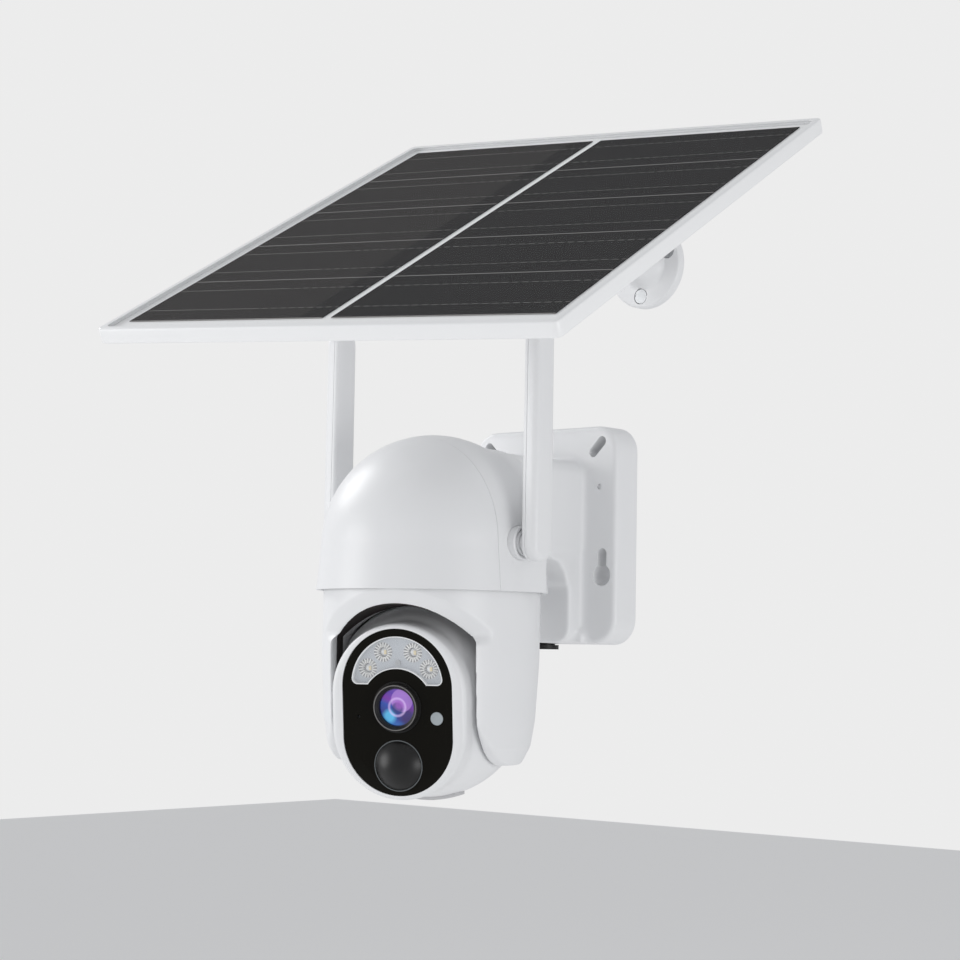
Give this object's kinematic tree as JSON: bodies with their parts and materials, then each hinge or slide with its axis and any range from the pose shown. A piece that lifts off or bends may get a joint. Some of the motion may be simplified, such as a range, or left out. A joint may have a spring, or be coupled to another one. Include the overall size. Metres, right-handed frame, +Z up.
{
  "type": "solar-powered security camera",
  "caption": "Outdoor pan and tilt security camera on a wall bracket, with a domed cap, yoke, rod antennas and a separate adjustable solar panel arm.",
  "frame": {"origin": "centre of the camera bracket's back face, on the wall", "axes": "+Y points into the wall, the camera and panel stand out along -Y, +Z is up, +X is to the right seen from in front"},
  "size_m": [0.2792, 0.301, 0.3616],
  "materials": {
    "white_body": "satin",
    "grey_plastic": "matt",
    "grey_rubber": "matt",
    "steel": "satin",
    "cell_wrap": "gloss",
    "black_plastic": "matt",
    "black_rubber": "matt",
    "board_green": "satin",
    "board_white": "satin",
    "gear_plastic": "satin",
    "black_gloss": "high gloss",
    "clear_window": "clear",
    "bright_reflector": "polished",
    "lens_glass": "clear coated",
    "dark_lens": "high gloss",
    "pale_window": "satin",
    "white_frame": "satin",
    "white_sheet": "matt",
    "solar_cell": "gloss",
    "panel_glass": "clear"
  },
  "bodies": {
    "bracket": {"bracket_shell": "white_body", "back_cover": "grey_plastic", "cover_screws": "steel", "battery_cells": "cell_wrap", "battery_holder": "black_plastic", "charge_board": "board_green", "inlet_gland": "black_rubber", "dome_front": "white_body", "cap_floor": "grey_plastic", "pan_bearing": "steel", "pan_motor": "steel", "main_board": "board_green", "radio_module": "steel", "speaker": "black_plastic", "antenna_collars": "white_body", "solar_base": "white_body", "solar_base_screws": "steel"},
    "pan_drive": {"pan_pinion": "gear_plastic"},
    "yoke": {"yoke_shell": "white_body", "yoke_cheeks": "white_body", "pan_gear": "gear_plastic", "pan_retainer": "steel", "tilt_bushes": "gear_plastic", "tilt_motor": "steel"},
    "tilt_drive": {"tilt_pinion": "gear_plastic"},
    "head": {"head_front": "white_body", "head_rear": "white_body", "head_screws": "steel", "head_trunnions": "steel", "tilt_gear": "gear_plastic", "face_panel": "black_gloss", "lamp_window": "clear_window", "lamp_reflectors": "bright_reflector", "lamp_board": "board_white", "lens_barrel": "black_plastic", "lens_glass": "lens_glass", "image_board": "board_green", "motion_lens": "dark_lens", "motion_sensor": "steel", "light_sensor": "pale_window", "microphone": "steel", "card_socket": "black_plastic"},
    "card_cover": {"card_cover": "grey_rubber"},
    "reset_button": {"reset_button": "grey_plastic"},
    "left_antenna": {"antenna_left": "white_body", "antenna_left_lid": "white_body"},
    "right_antenna": {"antenna_right": "white_body", "antenna_right_lid": "white_body"},
    "solar_swivel": {"swivel_fork": "white_body", "tilt_bolt": "steel", "thumb_nut": "grey_plastic"},
    "solar_tongue": {"tilt_tongue": "white_body", "spin_nut": "steel"},
    "solar_panel": {"panel_plate": "grey_plastic", "panel_frame": "white_frame", "panel_back": "white_sheet", "panel_cells": "solar_cell", "panel_glass": "panel_glass", "junction_box": "black_plastic"}
  },
  "joints": [
    {"name": "pan", "type": "hinge", "parent": "bracket", "child": "yoke", "pos_m": [0, -0.1096, 0], "axis": [0, 0, 1], "range_deg": [-196, 154]},
    {"name": "pan_pinion_spin", "type": "hinge", "parent": "bracket", "child": "pan_drive", "pos_m": [0, -0.13852, 0], "axis": [0, 0, 1], "range_deg": [-770, 980]},
    {"name": "head_tilt", "type": "hinge", "parent": "yoke", "child": "head", "pos_m": [0, -0.1096, -0.088], "axis": [-0.9336, -0.3584, 0], "range_deg": [-83.5, 11]},
    {"name": "tilt_pinion_spin", "type": "hinge", "parent": "yoke", "child": "tilt_drive", "pos_m": [0, -0.1096, -0.0699], "axis": [-0.9336, -0.3584, 0], "range_deg": [-44, 334]},
    {"name": "card_cover_hinge", "type": "hinge", "parent": "head", "child": "card_cover", "pos_m": [-0.00279, -0.10232, -0.13874], "axis": [0.9336, 0.3584, 0], "range_deg": [0, 90]},
    {"name": "reset_press", "type": "slide", "parent": "head", "child": "reset_button", "axis": [0.0406, -0.1057, 0.9936], "range_m": [0, 0.001], "stiffness_N_per_m": 200},
    {"name": "left_antenna_turn", "type": "hinge", "parent": "bracket", "child": "left_antenna", "pos_m": [-0.06, -0.1096, -0.0093], "axis": [1, 0, 0], "range_deg": [-45, 90]},
    {"name": "right_antenna_turn", "type": "hinge", "parent": "bracket", "child": "right_antenna", "pos_m": [0.06, -0.1096, -0.0093], "axis": [1, 0, 0], "range_deg": [-45, 90]},
    {"name": "solar_swivel_turn", "type": "hinge", "parent": "bracket", "child": "solar_swivel", "pos_m": [0.0566, 0, 0.1473], "axis": [0, 1, 0], "range_deg": [-12, 12]},
    {"name": "solar_tilt", "type": "hinge", "parent": "solar_swivel", "child": "solar_tongue", "pos_m": [0.0566, -0.0778, 0.1473], "axis": [0.9917, 0, -0.1288], "range_deg": [-14, 10]},
    {"name": "panel_spin", "type": "hinge", "parent": "solar_tongue", "child": "solar_panel", "pos_m": [0.0566, -0.0778, 0.1473], "axis": [0.1132, -0.4772, 0.8715], "range_deg": [-8, 8]}
  ],
  "couplings": [
    {"joint": "pan_pinion_spin", "follows": "pan", "ratio": -5},
    {"joint": "tilt_pinion_spin", "follows": "head_tilt", "ratio": -4}
  ]
}
